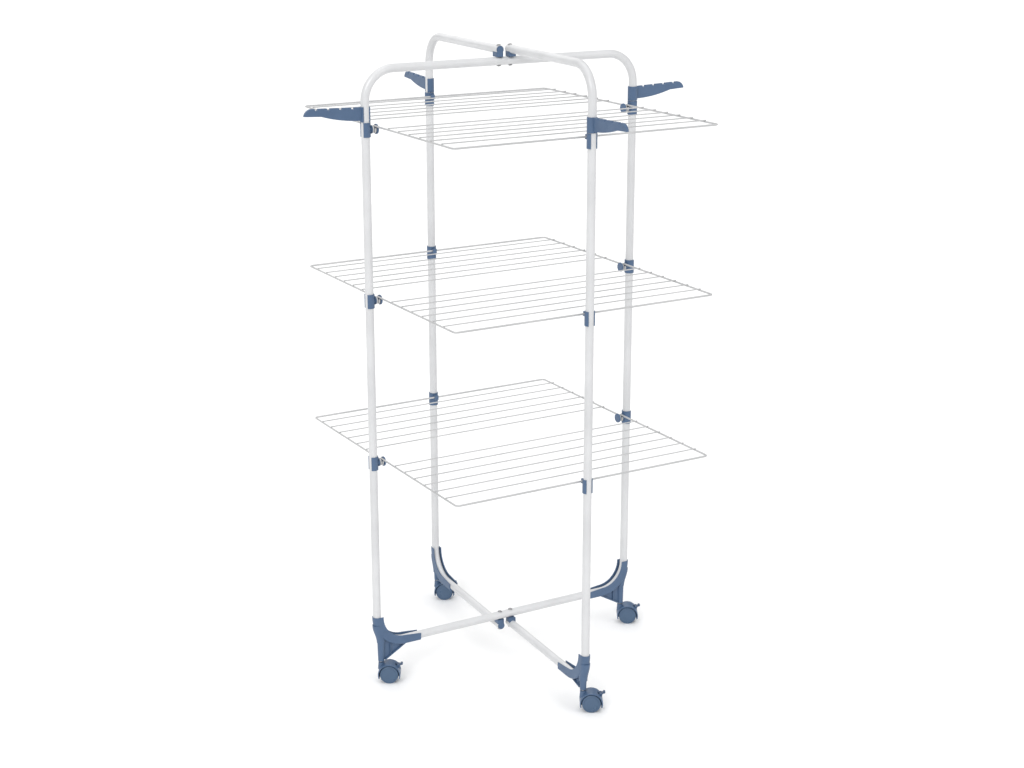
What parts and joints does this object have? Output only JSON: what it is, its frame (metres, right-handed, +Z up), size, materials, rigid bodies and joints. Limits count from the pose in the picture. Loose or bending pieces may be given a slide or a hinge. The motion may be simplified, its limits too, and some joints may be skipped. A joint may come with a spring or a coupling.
{
  "type": "clothes drying rack",
  "caption": "Upright rolling clothes airer: white tube hoop with two hinged half frames, tiers of folding wire racks, blue plastic clips, hanger arms and braked twin-wheel castors.",
  "frame": {"origin": "on the floor under the middle of the airer", "axes": "+Z up, X along the closed hoop, +Y towards the back half frame"},
  "size_m": [1.146, 1.2118, 1.7251],
  "materials": {
    "white_tube": "satin",
    "white_wire": "satin",
    "blue_plastic": "satin",
    "dark_plastic": "satin",
    "wheel_plastic": "satin",
    "steel": "brushed"
  },
  "bodies": {
    "frame": {"main_top_hoop": "white_tube", "main_lower_hoop": "white_tube", "left_hub_clips": "blue_plastic", "right_hub_clips": "blue_plastic", "left_foot": "blue_plastic", "right_foot": "blue_plastic", "hinge_rivets": "steel", "main_castor_stems": "steel"},
    "back_half_frame": {"back_upper_tube": "white_tube", "back_lower_tube": "white_tube", "back_top_hinge_block": "blue_plastic", "back_bottom_hinge_block": "blue_plastic", "back_hook_clips": "blue_plastic", "back_foot": "blue_plastic", "back_castor_stem": "steel"},
    "front_half_frame": {"front_upper_tube": "white_tube", "front_lower_tube": "white_tube", "front_top_hinge_block": "blue_plastic", "front_bottom_hinge_block": "blue_plastic", "front_hook_clips": "blue_plastic", "front_foot": "blue_plastic", "front_castor_stem": "steel"},
    "left_hanger_arm": {"left_hanger_arm": "blue_plastic"},
    "right_hanger_arm": {"right_hanger_arm": "blue_plastic"},
    "back_hanger_arm": {"back_hanger_arm": "blue_plastic"},
    "front_hanger_arm": {"front_hanger_arm": "blue_plastic"},
    "back_low_rack": {"back_low_rack_frame": "white_wire", "back_low_rack_lines": "white_wire"},
    "back_middle_rack": {"back_middle_rack_frame": "white_wire", "back_middle_rack_lines": "white_wire"},
    "back_high_rack": {"back_high_rack_frame": "white_wire", "back_high_rack_lines": "white_wire"},
    "front_low_rack": {"front_low_rack_frame": "white_wire", "front_low_rack_lines": "white_wire"},
    "front_middle_rack": {"front_middle_rack_frame": "white_wire", "front_middle_rack_lines": "white_wire"},
    "front_high_rack": {"front_high_rack_frame": "white_wire", "front_high_rack_lines": "white_wire"},
    "left_castor": {"left_castor_hood": "blue_plastic", "left_castor_axle": "steel"},
    "left_wheel_a": {"left_castor_wheel_a": "wheel_plastic"},
    "left_wheel_b": {"left_castor_wheel_b": "wheel_plastic"},
    "left_brake": {"left_brake_lever": "dark_plastic"},
    "right_castor": {"right_castor_hood": "blue_plastic", "right_castor_axle": "steel"},
    "right_wheel_a": {"right_castor_wheel_a": "wheel_plastic"},
    "right_wheel_b": {"right_castor_wheel_b": "wheel_plastic"},
    "right_brake": {"right_brake_lever": "dark_plastic"},
    "back_castor": {"back_castor_hood": "blue_plastic", "back_castor_axle": "steel"},
    "back_wheel_a": {"back_castor_wheel_a": "wheel_plastic"},
    "back_wheel_b": {"back_castor_wheel_b": "wheel_plastic"},
    "back_brake": {"back_brake_lever": "dark_plastic"},
    "front_castor": {"front_castor_hood": "blue_plastic", "front_castor_axle": "steel"},
    "front_wheel_a": {"front_castor_wheel_a": "wheel_plastic"},
    "front_wheel_b": {"front_castor_wheel_b": "wheel_plastic"},
    "front_brake": {"front_brake_lever": "dark_plastic"}
  },
  "joints": [
    {"name": "back_fold", "type": "hinge", "parent": "frame", "child": "back_half_frame", "pos_m": [-0.017, 0, 0], "axis": [0, 0, 1], "range_deg": [0, 78]},
    {"name": "front_fold", "type": "hinge", "parent": "frame", "child": "front_half_frame", "pos_m": [0.017, 0, 0], "axis": [0, 0, 1], "range_deg": [0, 78]},
    {"name": "left_arm_swivel", "type": "hinge", "parent": "frame", "child": "left_hanger_arm", "pos_m": [-0.405, 0, 1.57], "axis": [0, 0, 1], "range_deg": [-90, 90]},
    {"name": "right_arm_swivel", "type": "hinge", "parent": "frame", "child": "right_hanger_arm", "pos_m": [0.405, 0, 1.57], "axis": [0, 0, 1], "range_deg": [-90, 90]},
    {"name": "back_arm_swivel", "type": "hinge", "parent": "back_half_frame", "child": "back_hanger_arm", "pos_m": [0.007, 0.438, 1.57], "axis": [0, 0, 1], "range_deg": [-90, 90]},
    {"name": "front_arm_swivel", "type": "hinge", "parent": "front_half_frame", "child": "front_hanger_arm", "pos_m": [-0.007, -0.438, 1.57], "axis": [0, 0, 1], "range_deg": [-90, 90]},
    {"name": "back_low_rack_turn", "type": "hinge", "parent": "frame", "child": "back_low_rack", "pos_m": [0, 0, 0.641], "axis": [-1, 0, 0], "range_deg": [0, 90]},
    {"name": "back_middle_rack_turn", "type": "hinge", "parent": "frame", "child": "back_middle_rack", "pos_m": [0, 0, 1.086], "axis": [-1, 0, 0], "range_deg": [0, 90]},
    {"name": "back_high_rack_turn", "type": "hinge", "parent": "frame", "child": "back_high_rack", "pos_m": [0, 0, 1.531], "axis": [-1, 0, 0], "range_deg": [0, 90]},
    {"name": "front_low_rack_turn", "type": "hinge", "parent": "frame", "child": "front_low_rack", "pos_m": [0, 0, 0.641], "axis": [1, 0, 0], "range_deg": [0, 90]},
    {"name": "front_middle_rack_turn", "type": "hinge", "parent": "frame", "child": "front_middle_rack", "pos_m": [0, 0, 1.086], "axis": [1, 0, 0], "range_deg": [0, 90]},
    {"name": "front_high_rack_turn", "type": "hinge", "parent": "frame", "child": "front_high_rack", "pos_m": [0, 0, 1.531], "axis": [1, 0, 0], "range_deg": [0, 90]},
    {"name": "left_castor_swivel", "type": "hinge", "parent": "frame", "child": "left_castor", "pos_m": [-0.395, 0, 0.045], "axis": [0, 0, 1], "continuous": true},
    {"name": "left_wheel_a_spin", "type": "hinge", "parent": "left_castor", "child": "left_wheel_a", "pos_m": [-0.37585, -0.01123, 0.0255], "axis": [0.506, 0.8625, 0], "continuous": true},
    {"name": "left_wheel_b_spin", "type": "hinge", "parent": "left_castor", "child": "left_wheel_b", "pos_m": [-0.37585, -0.01123, 0.0255], "axis": [0.506, 0.8625, 0], "continuous": true},
    {"name": "left_brake_press", "type": "hinge", "parent": "left_castor", "child": "left_brake", "pos_m": [-0.35406, -0.02402, 0.04825], "axis": [0.506, 0.8625, 0], "range_deg": [0, 22]},
    {"name": "right_castor_swivel", "type": "hinge", "parent": "frame", "child": "right_castor", "pos_m": [0.395, 0, 0.045], "axis": [0, 0, 1], "continuous": true},
    {"name": "right_wheel_a_spin", "type": "hinge", "parent": "right_castor", "child": "right_wheel_a", "pos_m": [0.41415, -0.01123, 0.0255], "axis": [0.506, 0.8625, 0], "continuous": true},
    {"name": "right_wheel_b_spin", "type": "hinge", "parent": "right_castor", "child": "right_wheel_b", "pos_m": [0.41415, -0.01123, 0.0255], "axis": [0.506, 0.8625, 0], "continuous": true},
    {"name": "right_brake_press", "type": "hinge", "parent": "right_castor", "child": "right_brake", "pos_m": [0.43594, -0.02402, 0.04825], "axis": [0.506, 0.8625, 0], "range_deg": [0, 22]},
    {"name": "back_castor_swivel", "type": "hinge", "parent": "back_half_frame", "child": "back_castor", "pos_m": [0.00645, 0.42801, 0.045], "axis": [0, 0, 1], "continuous": true},
    {"name": "back_wheel_a_spin", "type": "hinge", "parent": "back_castor", "child": "back_wheel_a", "pos_m": [0.0256, 0.41678, 0.0255], "axis": [0.506, 0.8625, 0], "continuous": true},
    {"name": "back_wheel_b_spin", "type": "hinge", "parent": "back_castor", "child": "back_wheel_b", "pos_m": [0.0256, 0.41678, 0.0255], "axis": [0.506, 0.8625, 0], "continuous": true},
    {"name": "back_brake_press", "type": "hinge", "parent": "back_castor", "child": "back_brake", "pos_m": [0.04739, 0.40399, 0.04825], "axis": [0.506, 0.8625, 0], "range_deg": [0, 22]},
    {"name": "front_castor_swivel", "type": "hinge", "parent": "front_half_frame", "child": "front_castor", "pos_m": [-0.00645, -0.42801, 0.045], "axis": [0, 0, 1], "continuous": true},
    {"name": "front_wheel_a_spin", "type": "hinge", "parent": "front_castor", "child": "front_wheel_a", "pos_m": [0.01269, -0.43925, 0.0255], "axis": [0.506, 0.8625, 0], "continuous": true},
    {"name": "front_wheel_b_spin", "type": "hinge", "parent": "front_castor", "child": "front_wheel_b", "pos_m": [0.01269, -0.43925, 0.0255], "axis": [0.506, 0.8625, 0], "continuous": true},
    {"name": "front_brake_press", "type": "hinge", "parent": "front_castor", "child": "front_brake", "pos_m": [0.03449, -0.45204, 0.04825], "axis": [0.506, 0.8625, 0], "range_deg": [0, 22]}
  ],
  "couplings": [
    {"joint": "back_low_rack_turn", "follows": "back_fold", "ratio": 1.1538},
    {"joint": "back_middle_rack_turn", "follows": "back_fold", "ratio": 1.1538},
    {"joint": "back_high_rack_turn", "follows": "back_fold", "ratio": 1.1538},
    {"joint": "front_low_rack_turn", "follows": "front_fold", "ratio": 1.1538},
    {"joint": "front_middle_rack_turn", "follows": "front_fold", "ratio": 1.1538},
    {"joint": "front_high_rack_turn", "follows": "front_fold", "ratio": 1.1538}
  ]
}
